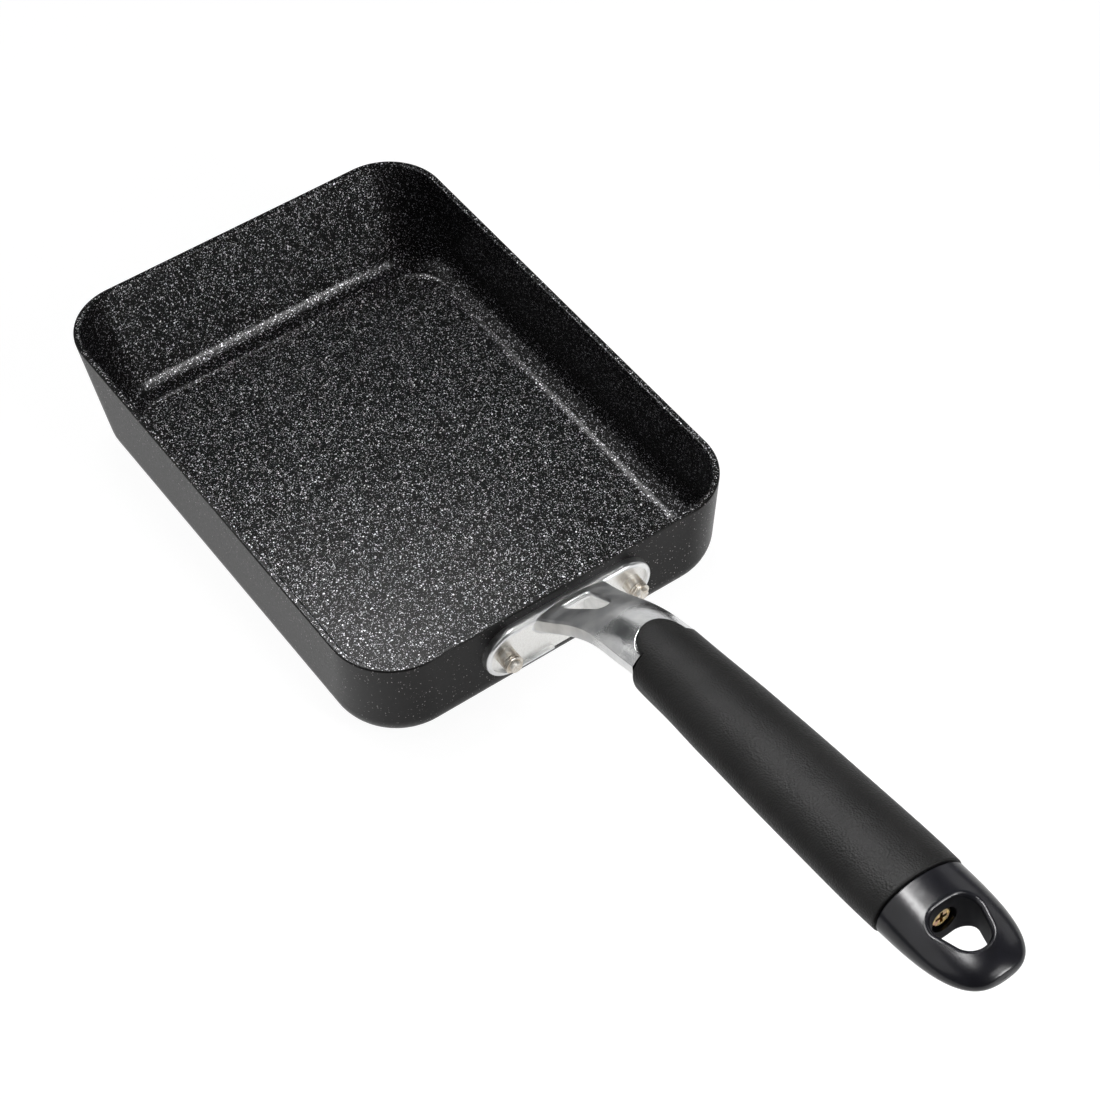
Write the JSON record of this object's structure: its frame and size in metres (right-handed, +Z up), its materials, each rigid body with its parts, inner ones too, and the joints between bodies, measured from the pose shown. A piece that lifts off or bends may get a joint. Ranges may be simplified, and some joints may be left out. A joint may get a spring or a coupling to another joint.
{
  "type": "rectangular omelette pan",
  "caption": "Deep rectangular omelette pan with a leaning far wall, a riveted cast bracket and a soft-sleeved handle that ends in a hanging hole.",
  "frame": {"origin": "middle of the pan's flat underside, halfway along the rim's outer length", "axes": "+X towards the handle, +Y across the pan, +Z up out of the pan"},
  "size_m": [0.3716, 0.134, 0.0725],
  "materials": {
    "pan_finish": "dark coating, speckled inside and matt outside",
    "cast_metal": "polished casting",
    "rivet_metal": "satin",
    "hard_plastic": "gloss",
    "soft_grip": "matt, fine grained",
    "plated_steel": "yellow plated",
    "washer_steel": "satin"
  },
  "bodies": {
    "root": {"pan_body": "pan_finish", "handle_bracket": "cast_metal", "rivet_left": "rivet_metal", "rivet_right": "rivet_metal", "handle_core": "hard_plastic", "grip_sleeve": "soft_grip", "handle_screw": "plated_steel", "screw_washer": "washer_steel", "spring_washer": "washer_steel"}
  },
  "joints": []
}
